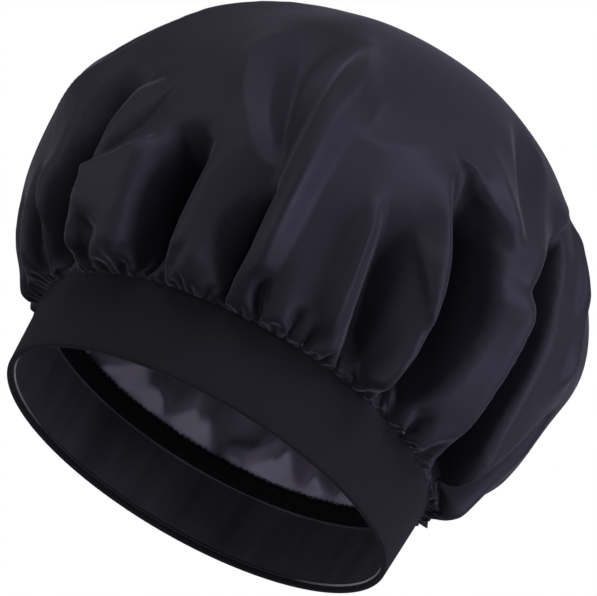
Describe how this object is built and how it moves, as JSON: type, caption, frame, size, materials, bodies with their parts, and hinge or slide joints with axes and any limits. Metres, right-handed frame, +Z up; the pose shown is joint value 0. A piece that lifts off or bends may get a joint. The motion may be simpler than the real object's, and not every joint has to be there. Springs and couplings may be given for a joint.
{
  "type": "shower cap",
  "caption": "Bouffant shower cap: a full, gathered and lined crown of smooth waterproof cloth on a wide elasticated band.",
  "frame": {"origin": "under the middle of the cap's outline, level with the rim of the band", "axes": "+Z up from the opening to the top of the crown, +X along the opening's long axis towards the crown's fuller side, -Y towards the side that stands furthest out over the band"},
  "size_m": [0.271, 0.224, 0.233],
  "materials": {
    "crown_cloth": "smooth waterproof cloth with a soft satin sheen",
    "lining_cloth": "glossy satin",
    "band_knit": "matte stretch knit",
    "facing_cloth": "dull satin",
    "elastic": "ribbed webbing",
    "raw_edge": "matte cut edges of cloth",
    "thread": "spun thread"
  },
  "bodies": {
    "root": {"outer_crown": "crown_cloth", "crown_lining": "lining_cloth", "band_shell": "band_knit", "band_facing": "facing_cloth", "band_elastic": "elastic", "elastic_join_thread": "thread", "seam_allowance": "raw_edge", "overlock_thread": "thread", "gather_thread": "thread"}
  },
  "joints": []
}
